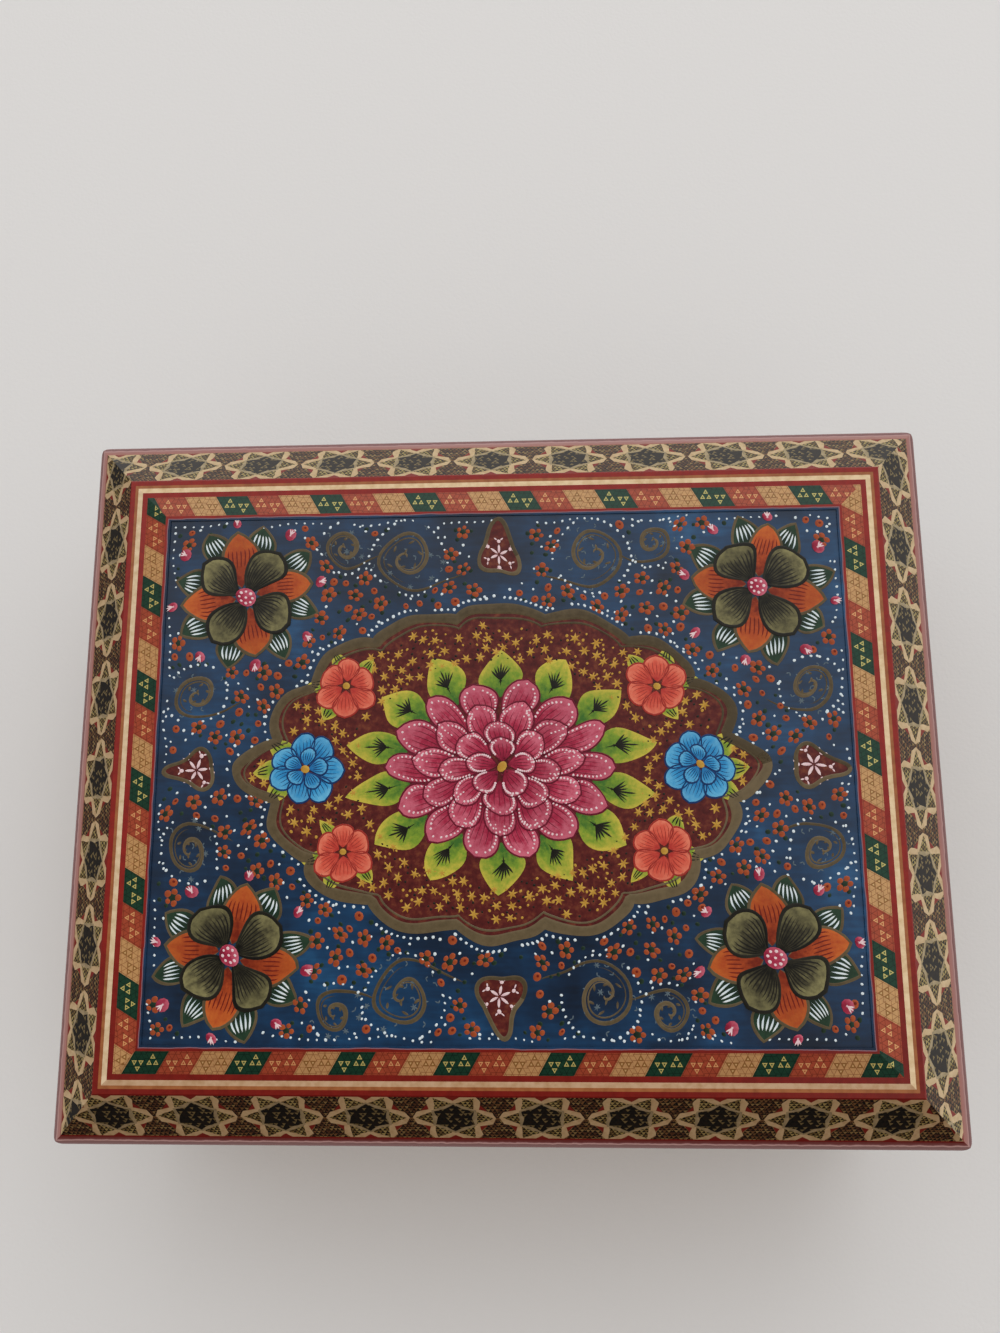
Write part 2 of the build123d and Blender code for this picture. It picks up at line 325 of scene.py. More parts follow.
def stripe_blocks(spot, width, slant, start, order):
    """Slanted blocks of green, orange and tan wood, scribed in a fine net, each with gold triangles."""
    lean = slant / math.tan(math.radians(BLOCK_SLANT))
    along = vec("DOT_PRODUCT", spot, (1, -lean, 0))
    block = calc("DIVIDE", calc("SUBTRACT", along, start), order * BLOCK)
    cycle = calc("DIVIDE", calc("WRAP", block, 3.0, 0.0), 3.0)
    wood, net, gold, inner = (
        ramp(cycle, dict(zip((0, 1 / 3, 2 / 3), woods)), "CONSTANT") for woods in BLOCK_WOODS)

    middle = calc("ADD", calc("FLOOR", block), 0.5)
    middle = calc("MULTIPLY_ADD", middle, order * BLOCK, start)
    local = vec("SUBTRACT", spot, joined(middle))
    flip = calc("MULTIPLY", calc("SIGN", parts_of(local)[0]), slant)
    turned = vec("SUBTRACT", vec("SCALE", local, flip), (slant * 0.35 * width, 0.07 * width, 0))
    ways = unit(np.radians([90, 210, 330])) / (width / 3.7)
    rows = [calc("ADD", vec("DOT_PRODUCT", turned, (*way, 0)), 2 / 3) for way in ways]
    least = chain("MINIMUM", [calc("FRACT", row) for row in rows])
    in_group = calc("GREATER_THAN", chain("MINIMUM", rows), 0.0)
    in_small = calc("GREATER_THAN", chain("MAXIMUM", rows), 1.0)
    in_rim = calc("GREATER_THAN", least, 0.065)
    on_figure = chain("MULTIPLY", (in_group, in_small, in_rim))
    scribed = calc("LESS_THAN", least, 0.075)
    rim = calc("COMPARE", least, 0.14, 0.075)
    worn = mixed(noise(spot, 0.9, 3.0), (0.72, 0.72, 0.72, 1), (1.22, 1.2, 1.15, 1))
    look = mixed(scribed, mixed(1.0, wood, worn, "MULTIPLY"), net)
    return mixed(on_figure, look, mixed(rim, inner, gold))


def width_of(strips):
    """Width of several strips side by side."""
    return sum(width for width, kind in strips)


def marquetry(name, side, inset, height, tilt, strips, painted_shade_and_gloss=("ffffff", 0.3)):
    """Khatam sheet on one face: strips of stars, blocks or plain dyed wood, as (width, kind) from below.

    painted_shade_and_gloss is a colour multiplied over the sheet as painted shade, and how much gloss its coat has."""
    made, place = material(name + side)
    spot = laid_on(place, side, inset, height, tilt)
    up = parts_of(spot)[1]
    edge = -width_of(strips) / 2
    look = None
    for width, kind in strips:
        middle = edge + width / 2
        if kind == "stars":
            rows = max(1, round(width / STAR_ROW))
            origin = (STAR_OFFSET[side], middle - (rows - 1) * STAR_ROW / 2, 0)
            here = star_field(vec("SUBTRACT", spot, origin))
        elif kind == "blocks":
            here = stripe_blocks(vec("SUBTRACT", spot, (0, middle, 0)), width, *BLOCK_LAY[side])
        else:
            here = kind
        look = mixed(calc("GREATER_THAN", up, edge), look, here) if look else here
        edge += width
    # The tone is painted shade, multiplied into the sheet's colour
    tone, gloss = painted_shade_and_gloss
    varnish(mixed(1.0, look, tone, "MULTIPLY"), gloss)
    return made


def give(made, *nodes):
    """Put a material on CAD nodes."""
    for node in nodes:
        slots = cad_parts[node].data.materials
        slots.clear()
        slots.append(made)


def dyed_wood(name, colour, deep, pore=(1.5, 1.5, 1.5), coat=0.6):
    """Lacquered wood: one colour with darker pores of a length, width and height in millimetres."""
    made, place = material(name)
    varnish(ramp(noise(stretched(place, *pore), 1.0, 4.0), {0.3: deep, 0.62: colour}), coat)
    return made


EDGE_RED = 0.5
BORDER_BLOCKS = 4.0
# Per side, a colour multiplied over the marquetry as painted shade, darkest at the front, and the weight of its
# coat
BEVEL_PAINTED_SHADE_AND_GLOSS = {
    "front": ("c8baac", 0.06), "right": ("fcf6ec", 0.55), "back": ("ece4d6", 0.7), "left": ("e8ded4", 0.15)}
TOP_PAINTED_SHADE_AND_GLOSS = {
    "front": ("dfd6d2", 0.15), "right": ("ffffff", 0.5), "back": ("ffffff", 0.7), "left": ("f4eee8", 0.25)}
PINK_LINE = "a3736c"
thin_lines = [(0.6, RED), (0.8, BONE), (0.6, RED)]
skirt_height = np.ptp(low_high("lid_front_skirt")[:, 2])
skirt_strips = [*thin_lines, (skirt_height - 2 * width_of(thin_lines), "blocks"), *thin_lines]
side_height = SEAM - PLINTH_TOP
side_border = [*thin_lines, (BORDER_BLOCKS, "blocks"), *thin_lines]
side_strips = [*side_border, (side_height - 2 * width_of(side_border), "stars"), *side_border]
for side in SIDES:
    bevel_strips = [(EDGE_RED, RED if side == "front" else PINK_LINE), (SLOPE - 2 * EDGE_RED, "stars"),
                    (EDGE_RED, RED)]
    bevel = marquetry(
        "star_marquetry_", side, BEVEL_FOOT_INSET + BEVEL_WIDTH / 2,
        BEVEL_FOOT + BEVEL_RISE / 2, BEVEL_ANGLE, bevel_strips, BEVEL_PAINTED_SHADE_AND_GLOSS[side])
    give(bevel, "star_band_" + side, "star_inlay_" + side)
    give(marquetry(
        "block_marquetry_", side, STRIPE_INSET + STRIPE_WIDTH / 2, TOP, 0, [(STRIPE_WIDTH, "blocks")],
        TOP_PAINTED_SHADE_AND_GLOSS[side]), "stripe_band_" + side)
    give(marquetry(
        "lid_side_marquetry_", side, 0, SEAM + skirt_height / 2, 90, skirt_strips), f"lid_{side}_skirt")
    give(marquetry(
        "box_side_marquetry_", side, 0, PLINTH_TOP + side_height / 2, 90, side_strips), side + "_panel")


def edging(side):
    """Mauve lacquered moulding with a pink line on its crown and, at the front, dark red by the sheet."""
    made, place = material("mauve_lacquered_edging_" + side)
    spot = laid_on(place, side, 0, BEVEL_FOOT, 0)
    inward = calc("MULTIPLY_ADD", noise(spot, 0.5, 3.0), 0.5, parts_of(spot)[1])
    inner = ("744443", "5f211d") if side == "front" else ("a07672", PINK_LINE)
    varnish(ramp(fade(inward, 0.25, 2.25), {
        0.0: MAUVE, 0.5: "7a5554", 0.57: "b08a86", 0.64: "b08a86", 0.7: inner[0], 0.85: inner[1],
    }))
    return made


carcass = {way: dyed_wood("walnut_grain_" + way, "6d4830", "4b2f1e", pore, coat=0.1)
           for way, pore in (("across", (26, 1.1, 1.1)), ("deep", (1.1, 26, 1.1)))}
for side in SIDES:
    give(edging(side), f"lid_{side}_bead", side + "_plinth_strip")
    grain = carcass["deep" if side in ("right", "left") else "across"]
    give(grain, side + "_wall", f"lid_{side}_rail")
give(carcass["across"], "bottom_board", "lid_board")
# Colours of the bone lines on each side, with painted shade that makes them darkest at the front
BONE_LINE_PAINTED_SHADES = {
    "front": ("c09f7f", "ae8965"), "right": ("e4cba4", "cfb085"), "back": ("e4cba4", "cfb085"),
    "left": ("dcc4a2", "c7ab84")}
for side, tones in BONE_LINE_PAINTED_SHADES.items():
    give(dyed_wood("camel_bone_line_painted_shade_" + side, *tones), "bone_line_" + side)

LAP = 0.45
LAP_EDGE = 0.2
UNSTEADY = 0.3


def panel_blue(place):
    """The blue of the panel: a slow wash with the marks of a wide brush."""
    brush = noise(stretched(place, 9, 1.2, 1000), 1.0, 3.0)
    wash = calc("MULTIPLY_ADD", brush, 0.22, noise(place, per(22), 4.0, 0.6))
    return ramp(wash, {0.4: "111c2c", 0.56: "152a43", 0.72: "193b5d", 0.88: "25567f"})


def red_lines():
    """Red dyed wood, with painted shade that makes it darkest at the front.

    The panel's blue laps over the innermost line, with a pale line along its edge that is a painted highlight."""
    made, place = material("red_dyed_wood")
    pores = noise(place, per(1.5), 4.0)
    # Painted shade: the red darkens towards the front
    front_painted_shade = fade(parts_of(place)[1], PANEL_LOW[1] * MM, PANEL_LOW[1] * MM / 2)
    look = mixed(front_painted_shade, ramp(pores, {0.3: "69160f", 0.62: "761b13"}),
                 ramp(pores, {0.3: "7c1911", 0.62: "8b1e15"}))
    reach = vec("ABSOLUTE", vec("SUBTRACT", place, (PANEL_LOW + PANEL_HIGH) / 2 * MM))
    reach = parts_of(vec("SUBTRACT", reach, (PANEL_HIGH - PANEL_LOW) / 2 * MM))
    reach = calc("MAXIMUM", reach[0], reach[1])
    reach = calc("MULTIPLY_ADD", noise(place, per(6), 3.0), 2 * UNSTEADY * MM, reach)
    # The pale line is a painted highlight along the panel's edge; the blue is the panel's own paint
    for limit, blue_paint_and_highlight in ((LAP + LAP_EDGE, "84606a"), (LAP, panel_blue(place))):
        look = mixed(calc("LESS_THAN", reach, (limit + UNSTEADY) * MM), look, blue_paint_and_highlight)
    varnish(look)
    return made


give(red_lines(), "red_lines")
give(dyed_wood("orange_wood", "9f6239", "8a502c"), "tan_lines")


# Closed meshes from arrays

def placed(name, data):
    """A new object in the scene."""
    made = bpy.data.objects.new(name, data)
    bpy.context.scene.collection.objects.link(made)
    return made


def make_piece(name, points, faces, made, body, stroke=None, smooth=True):
    """Mesh object from points in millimetres and faces; stroke is a vector kept at each point."""
    mesh = bpy.data.meshes.new(name)
    mesh.from_pydata((points * MM).tolist(), [], faces)
    if stroke is not None:
        mesh.attributes.new("stroke", "FLOAT_VECTOR", "POINT").data.foreach_set("vector", stroke.ravel())
    mesh.shade_smooth() if smooth else mesh.shade_flat()
    piece = placed(name, mesh)
    mesh.materials.append(made)
    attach(piece, body)
    return piece


def ring_faces(rings, around):
    """Quads between rings of points, and fans at the ends; the points are a pole, the rings and a pole."""
    ring = 1 + around * np.arange(rings - 1)[:, None]
    here = np.arange(around)
    after = (here + 1) % around
    quads = np.stack([ring + here, ring + after, ring + around + after, ring + around + here], -1).reshape(-1, 4)
    last = 1 + around * (rings - 1)
    first_fan = np.stack([np.zeros(around, int), 1 + after, 1 + here], -1)
    last_fan = np.stack([np.full(around, last + around), last + here, last + after], -1)
    return quads, np.concatenate([first_fan, last_fan])


def sideways(axis):
    """Unit vectors square to each path, to its right."""
    along = np.gradient(axis, axis=1)
    along /= np.maximum(np.linalg.norm(along, axis=-1, keepdims=True), 1e-9)
    return np.stack([along[..., 1], -along[..., 0]], -1)


def brush_marks(axis, half_width, rise, base, around=5, seed=1):
    """Lens-shaped dabs of paint: half round across a path, flat below, with a point at each end.

    axis is (marks, steps, 2) and half_width (marks, steps)."""
    marks, steps = axis.shape[:2]
    turn = np.linspace(0, math.pi, around)
    plan = axis[:, :, None] + sideways(axis)[:, :, None] * (half_width[:, :, None] * np.cos(turn))[..., None]
    share = half_width / np.maximum(half_width.max(axis=1, keepdims=True), 1e-9)
    height = base + rise * np.sqrt(share)[:, :, None] * np.sin(turn)
    ring = np.concatenate([plan, height[..., None]], -1)[:, 1:-1].reshape(marks, -1, 3)
    ends = [np.concatenate([axis[:, i], np.full((marks, 1), base)], -1)[:, None] for i in (0, -1)]
    points = np.concatenate([ends[0], ring, ends[1]], 1)
    stroke = np.zeros((marks, steps, around, 3))
    stroke[..., 0] = np.cos(turn)
    stroke[..., 1] = np.linspace(0, 1, steps)[:, None]
    stroke[..., 2] = np.random.default_rng(seed).random(marks)[:, None, None]
    caps = [stroke[:, i, :1] * (0, 1, 1) for i in (0, -1)]
    strokes = np.concatenate([caps[0], stroke[:, 1:-1].reshape(marks, -1, 3), caps[1]], 1)
    quads, fans = ring_faces(steps - 2, around)
    shift = (points.shape[1] * np.arange(marks))[:, None, None]
    faces = [(quads + shift).reshape(-1, 4), (fans + shift).reshape(-1, 3)]
    return points.reshape(-1, 3), faces, strokes.reshape(-1, 3)


def drift(points):
    """How far a freehand line strays, up to 0.7 mm: slow waves over the panel."""
    x, y = points[:, 0], points[:, 1]
    across = 0.42 * np.sin(0.17 * x + 0.31 * y + 1.0) + 0.26 * np.sin(0.52 * y - 0.23 * x)
    up = 0.42 * np.sin(0.29 * x - 0.12 * y + 2.0) + 0.26 * np.sin(0.48 * x + 0.33 * y)
    return np.stack([across, up, 0 * x], -1)


def paint(name, layers, made):
    """One painted piece from sets of brush marks, each a little off its place as by hand."""
    points, faces, strokes, count = [], [], [], 0
    for marks, sides, stroke in layers:
        points.append(marks + drift(marks))
        strokes.append(stroke)
        faces += [face for group in sides for face in (group + count).tolist()]
        count += len(marks)
    piece = make_piece(name, np.concatenate(points), faces, made, "lid", np.concatenate(strokes), smooth=False)
    return piece


# Painted panel

PANEL_HALF = (PANEL_HIGH - PANEL_LOW)[:2] / 2
GROUND = PANEL_HIGH[2]
FIELD = GROUND + 0.03
OUTLINE_LEVEL = GROUND + 0.05
PETAL_LEVEL = GROUND + 0.07
TOP_LEVEL = GROUND + 0.16
FIELD_FOOT = GROUND - 0.02
# Thickness of a coat of paint and of a fine line over it, and the width of an inked line
COAT, FINE, INK_WIDTH = 0.03, 0.02, 0.2
LOBES = 8
QUARTERS = ((1, 1), (-1, 1), (-1, -1), (1, -1))


def gouache(name, stops, streaks=0.2, hair=5.0, rim=0.25):
    """Water paint under varnish: blotched, shaded from foot to tip, paler at the rim, with hair lines."""
    made, place = material(name)
    stroke = add("Attribute", {}, "Vector", place.id_data, attribute_name="stroke")
    across, along, tone = parts_of(stroke)
    hairs = noise(vec("MULTIPLY", stroke, (hair, 1.5, 97.0)), 1.0, 2.0)
    level = calc("MULTIPLY_ADD", hairs, 0.45, along)
    level = calc("MULTIPLY_ADD", noise(place, per(1.7), 3.0, 0.65), 1.1, level)
    level = calc("MULTIPLY_ADD", calc("MULTIPLY", across, across), rim, level)
    colour = ramp(calc("SUBTRACT", level, 0.85), stops)
    dark = calc("MULTIPLY", calc("MULTIPLY_ADD", hairs, tone, 0.15), streaks)
    varnish(mixed(dark, colour, next(iter(stops.values()))), 0.35)
    return made


def turns_of(count):
    """Angles spread evenly round a circle."""
    return np.linspace(0, 2 * math.pi, count, endpoint=False)


def closed_outline(polar_radius, points):
    """Points round the middle at a radius given for each angle, as (points, 2)."""
    angle = turns_of(points)
    return polar_radius(angle)[:, None] * unit(angle)


def plaque(outline, centre):
    """Flat field of paint: a fan to its centre above and below, and an upright rim."""
    levels = (FIELD, FIELD_FOOT)
    rings = [np.column_stack([outline, np.full(len(outline), level)]) for level in levels]
    poles = [np.array([[*centre, level]]) for level in levels]
    points = np.concatenate([poles[0], *rings, poles[1]])
    quads, fans = ring_faces(2, len(outline))
    stroke = np.zeros_like(points)
    stroke[:, 1] = 0.5
    return points, [quads[:, ::-1], fans[:, ::-1]], stroke


coats = {}


def lay(name, made, marks):
    """Keep brush marks for the painted piece of that name."""
    coats.setdefault(name, (made, []))[1].append(marks)


def lines(name, made, path, width, rise=0.06, base=OUTLINE_LEVEL, taper=True, seed=1):
    """Long brush lines on a painted piece: path is (marks, steps, 2), thin at both ends if tapered."""
    part = np.linspace(0, 1, path.shape[1])
    swell = np.sin(math.pi * part) ** 0.4 if taper else np.where((part > 0) & (part < 1), 1.0, 0.0)
    lay(name, made, brush_marks(path, np.tile(width * swell, (len(path), 1)), rise, base, seed=seed))


def outline_line(name, outline, lap, width):
    """Olive gold line round an outline, that goes on over its own start."""
    lines(name, olive, np.concatenate([outline, outline[:lap]])[None], width, taper=False)


def dabs(name, made, centres, radius, rise, base, seed=1, steps=6):
    """Round dots on a painted piece, each a low dome of a size of its own."""
    centres = np.asarray(centres, float)
    radius = radius * np.random.default_rng(seed).uniform(0.8, 1.15, len(centres))
    part = np.cos(np.linspace(math.pi, 0, steps))
    axis = centres[:, None] + np.stack([part, 0 * part], -1) * radius[:, None, None]
    lay(name, made, brush_marks(axis, radius[:, None] * np.sqrt(1 - part ** 2), rise, base, seed=seed))


def petals(centre, angles, inner, outer, width, squeeze=(1, 1), fullness=1.5, cup=0.6):
    """Axis and half width of petals that spread from a centre: widest at a share of their length."""
    part = np.linspace(0, 1, 15)
    way = unit(angles)
    axis = way[:, None] * (inner + (outer - inner) * part)[None, :, None] * squeeze + centre
    swell = np.sin(math.pi * part ** fullness) ** cup
    scale = np.hypot(way[:, 1] * squeeze[0], way[:, 0] * squeeze[1])
    return axis, width * scale[:, None] * swell


def rim_of(axis, half_width, share=1.0):
    """Path round each petal at a share of its half width, from its foot over the tip and back."""
    middle = axis[:, :1] + (axis - axis[:, :1]) * (0.5 + share / 2)
    aside = sideways(axis) * half_width[..., None] * share
    return np.concatenate([middle + aside, (middle - aside)[:, ::-1][:, 1:]], 1)


def hatch(axis, half_width, shares, start, end):
    """Fine lines along each petal, at shares of its half width, from one part of its length to another."""
    index = np.round(np.linspace(start, end, 5) * (axis.shape[1] - 1)).astype(int)
    aside = (sideways(axis) * half_width[..., None])[:, index]
    return np.concatenate([axis[:, index] + aside * share for share in shares])


def white_dots(points, radius, seed, rise=0.08):
    """White dots on the blue."""
    dabs("white_dot_strings", white, points, radius, rise, GROUND, seed)


def quarters(paths):
    """The same paths in all four quarters of the panel."""
    return np.concatenate([np.asarray(paths) * sign for sign in QUARTERS])


MEDALLION = (54.0, 36.5)
SQUEEZE = np.array([1.22, 0.94])
CORNER = np.array([58.2, 40.0])
CORNER_REACH = 17.0
SCROLLS = ((21.0, 48.3, 7.2), (35.2, 51.2, 4.6), (68.6, 17.5, 5.4))
SIDE_BLOSSOM = (43.2, 0.0)
SALMON_BLOSSOM = (34.6, 18.2)
PENDANTS = ((0.0, 48.6, 6.6, 90), (68.2, 0.0, 5.6, 0))


def medallion_radius(angle):
    """Ellipse with scalloped lobes and a point at each end of its long axis."""
    across, up = MEDALLION
    turned = np.arctan2(np.sin(angle) * across, np.cos(angle) * up)
    base = across * up / np.hypot(up * np.cos(angle), across * np.sin(angle))
    lobe = 0.925 + 0.075 * np.abs(np.sin(LOBES * turned + math.pi / 2)) ** 0.8
    point = 0.09 * np.exp(-(np.sin(angle) / 0.10) ** 2)
    return base * (lobe + point)


def drop_outline(size, turn):
    """A drop with shouldered sides: its radius swells to a point at one end, in the way of the turn."""
    def radius(angle):
        swing = np.abs(np.angle(np.exp(1j * (angle - math.radians(turn)))))
        return size * (0.72 + 0.12 * np.cos(3 * swing) + 0.42 * np.exp(-(swing / 0.30) ** 2))
    return closed_outline(radius, 120)


def far_from(points, centre):
    """Distance of each point from a centre."""
    return np.hypot(*(points - centre).T)


def past_medallion(points):
    """How far outside the medallion each point is, along its ray from the middle."""
    return np.hypot(*points.T) - medallion_radius(np.arctan2(points[:, 1], points[:, 0]))


def outside(points, grow=0.0):
    """True for points of the panel that the medallion, corners, scrolls and pendants leave free."""
    folded = np.abs(points)
    free = past_medallion(points) > 3.2 + grow
    free &= far_from(folded, CORNER) > CORNER_REACH + 0.8 + grow
    for x, y, radius in SCROLLS:
        free &= far_from(folded, (x, y)) > radius + 2.0 + grow
    for x, y, size, turn in PENDANTS:
        free &= far_from(folded, (x, y)) > size + 1.6 + grow
    return free & (folded < PANEL_HALF - 2.4 - grow).all(axis=1)


def scatter(free, spacing, tries, seed, taken=()):
    """Points thrown at the panel, kept where they are free and further apart than the spacing."""
    thrown = np.random.default_rng(seed).uniform(-PANEL_HALF, PANEL_HALF, (tries, 2))
    kept = list(taken)
    for point in thrown[free(thrown)]:
        if not kept or far_from(kept, point).min() > spacing:
            kept.append(point)
    return np.array(kept[len(taken):])


def petal_row(axis, half, level, fill, outline, hairs, around=7, seeds=(1, 1)):
    """A row of petals, outlined, and hatched at shares of their half width.

    fill is the name of a piece and its paint; outline adds a width to these; hairs add a width, a
    thickness, a lift, the shares, and the start and end of the lines along a petal."""
    lay(*fill, brush_marks(axis, half, COAT, level, around, seeds[0]))
    *line, width = outline
    lines(*line, rim_of(axis, half), width, COAT, level + 0.01, seed=seeds[1])
    *line, width, rise, lift, shares, start, end = hairs
    lines(*line, hatch(axis, half, shares, start, end), width, rise, level + lift, seed=seeds[1])


def blossom(name, centre, rows, fill, line, dots=None, squeeze=(1, 1), lift=0.0):
    """Rows of petals on each other, each outlined and hatched; a row is count, inner, outer, width, turn."""
    line = (name + "_lines", line)
    hairs = (*line, INK_WIDTH * 0.42, FINE, 0.025, np.linspace(-0.62, 0.62, 5), 0.2, 0.8)
    for order, (count, inner, outer, width, turn) in enumerate(rows):
        angles = math.radians(turn) + turns_of(count)
        axis, half = petals(centre, angles, inner, outer, width, squeeze)
        level = PETAL_LEVEL + lift + 0.02 * order
        seeds = (count + order, count)
        petal_row(axis, half, level, (name + "_petals", fill), (*line, INK_WIDTH), hairs, seeds=seeds)
        if dots:
            rim = rim_of(axis, half, 0.8)[:, 5:-5].reshape(-1, 2)
            dabs(name + "_dots", dots, rim, 0.24, COAT, level + 0.03, seed=count)


def leaves(name, centre, angles, inner, outer, width, squeeze=(1, 1)):
    """Lime leaves that spread from a centre."""
    axis, half = petals(centre, angles, inner, outer, width, squeeze, fullness=0.85, cup=0.9)
    lay(name, lime, brush_marks(axis, half, COAT, PETAL_LEVEL - 0.02, 7))
    return axis, half


def veins(paths, width):
    """Ink lines on the leaves."""
    lines("leaf_veins", ink, paths, width, FINE, PETAL_LEVEL + 0.02)


def leafy_blossom(name, centre, angles, leaf, vein, rows, fill, line, heart, lift=0.0):
    """A blossom with a yellow heart on veined leaves; a leaf is inner, outer, width."""
    axis, half = leaves("blossom_leaves", centre, angles, *leaf)
    veins(hatch(axis, half, (-0.4, 0, 0.4), 0.5, 0.85), vein)
    blossom(name, centre, rows, fill, line, lift=lift)
    dabs("yellow_hearts", yellow, [centre], heart, 0.05, PETAL_LEVEL + 0.08)


def tufts(centres, angles, spread, count, inner, outer):
    """Fans of short straight strokes at each centre, about each angle."""
    way = unit(np.asarray(angles)[:, None] + np.linspace(-spread, spread, count))
    part = np.linspace(0, 1, 5)[:, None]
    paths = np.asarray(centres)[:, None, None] + way[:, :, None] * (inner + (outer - inner) * part)
    return paths.reshape(-1, 5, 2)


def crosses(name, made, centres, turns, reach, width, rise, base):
    """Little stars of three crossed strokes."""
    for turn in (0, math.pi / 3, 2 * math.pi / 3):
        lines(name, made, tufts(centres, turns + turn, 0, 1, -reach, reach), width, rise, base)


ink = gouache("black_ink_strokes", {0: "14130f", 1: "2a2820"})
maroon = gouache("maroon_field", {0.15: "3f1819", 0.45: "5a2421", 0.75: "7c452e"}, 0.1, rim=0.0)
olive = gouache("olive_gold_outline", {0: "4a3f2c", 1: "73644a"}, 0.6, hair=2.0)
pink = gouache("crimson_pink_petals", {0: "78182f", 0.42: "ad314c", 0.85: "d46f83"}, 0.6)
crimson = gouache("crimson_lines", {0: "5a1022", 1: "741a30"})
blush = gouache("blush_white_dots", {0: "dcb8be", 1: "ecdcdc"}, 0.1)
lime = gouache("lime_leaves", {0: "3f6a2c", 0.45: "7f9a33", 1: "cdbb4a"}, 0.3, rim=0.4)
salmon = gouache("salmon_petals", {0: "ae3630", 0.5: "d65c48", 1: "e8876c"}, 0.45)
brick = gouache("brick_red_lines", {0: "8e2a24", 1: "a83a30"})
sky = gouache("sky_blue_petals", {0: "1d5f9c", 0.5: "3796cc", 1: "6cb9de"}, 0.45)
navy = gouache("navy_lines", {0: "0f2a54", 1: "183c70"})
yellow = gouache("yellow_blossoms", {0: "a87a2c", 1: "cda54a"})
white = gouache("white_dots", {0: "c9dae2", 1: "e6edee"}, 0.1)
orange = gouache("orange_petals", {0: "6f2415", 0.5: "b24e26", 1: "c9692f"}, 0.55)
terracotta = gouache("terracotta_berries", {0: "8a3d22", 1: "b5592f"}, 0.35)
khaki = gouache("khaki_petals", {0: "15140f", 0.45: "4a4632", 1: "8d875c"}, 0.5)
forest = gouache("dark_green_leaves", {0: "141d17", 1: "2c4432"}, 0.3)
slate = gouache("slate_motes", {0: "4c5c66", 1: "66737a"})
russet = gouache("russet_strokes", {0: "5e1a12", 1: "7a2418"})

made, place = material("blue_ground")
varnish(panel_blue(place), coat=0.75)
give(made, "painted_panel")

# Medallion field and its outline
oval = closed_outline(medallion_radius, 480)
paint("medallion_field", [plaque(oval, (0, 0))], maroon)
outline_line("medallion_outline", oval, 6, 1.1)
inner_rim = closed_outline(lambda angle: medallion_radius(angle) - 2.0, 480)
outline_line("medallion_outline", inner_rim, 4, 0.22)
string = closed_outline(lambda angle: medallion_radius(angle) + 2.3, 190)
white_dots(string[np.arange(190) % 12 > 1], 0.33, 3)

# Great rosette in four rows of petals, and the leaves round it
leaf_angles = turns_of(14) + math.pi / 14
axis, half = leaves("rosette_leaves", (0, 0), leaf_angles, 17.0, 28.5, 3.9, SQUEEZE)
way = np.arctan2(*(axis[:, -1] - axis[:, 0]).T[::-1])
veins(tufts(axis[:, 5], way, 0.75, 7, -0.6, 3.4), 0.2)
veins(hatch(axis, half, (0,), 0.2, 0.75), 0.2)
blossom("rosette", (0, 0), (
    (14, 9.0, 21.0, 3.4, 0), (11, 5.5, 15.8, 3.2, 8), (8, 3.0, 11.0, 3.0, 0), (5, 1.0, 6.8, 2.5, 18),
), pink, crimson, blush, SQUEEZE)
dabs("yellow_hearts", yellow, [(0, 0)], 1.1, 0.05, TOP_LEVEL)
dabs("rosette_lines", crimson, 1.7 * unit(np.arange(9) * 0.7), 0.25, 0.04, TOP_LEVEL)

# Smaller blossoms on the maroon field: two blue and four salmon
for x in (-1, 1):
    leafy_blossom(
        "blue_blossom", np.multiply(SIDE_BLOSSOM, (x, 1)), math.radians(90 - 90 * x) + np.radians([-38, 0, 38]),
        (4.0, 11.5, 2.2), 0.16, ((7, 1.2, 8.0, 2.7, 0), (5, 0.6, 4.6, 1.7, 12)), sky, navy, 0.9)
for x, y in QUARTERS:
    outward = math.atan2(y * 0.8, x)
    leafy_blossom(
        "salmon_blossom", np.multiply(SALMON_BLOSSOM, (x, y)), outward + np.radians([-95, -30, 30, 95]),
        (3.0, 9.0, 1.9), 0.14, ((6, 1.0, 6.6, 2.6, 30),), salmon, brick, 0.8, lift=0.02)


def on_maroon(points):
    """True for points of the medallion that its blossoms and leaves leave free."""
    folded = np.abs(points)
    free = (past_medallion(points) < -3.4) & (far_from(points / SQUEEZE, 0) > 26.0)
    return free & (far_from(folded, SIDE_BLOSSOM) > 8.8) & (far_from(folded, SALMON_BLOSSOM) > 7.4)


stars = scatter(on_maroon, 2.25, 6000, 7)
turns = np.random.default_rng(8).uniform(0, math.pi, len(stars))
crosses("yellow_sprigs", yellow, stars, turns, 1.2, 0.22, 0.05, FIELD)
specks = scatter(on_maroon, 1.0, 9000, 9, stars)
dabs("yellow_sprigs", yellow, specks[::2], 0.3, 0.05, FIELD, seed=5)
dabs("dark_specks", ink, specks[1::2], 0.26, 0.05, FIELD, seed=6)

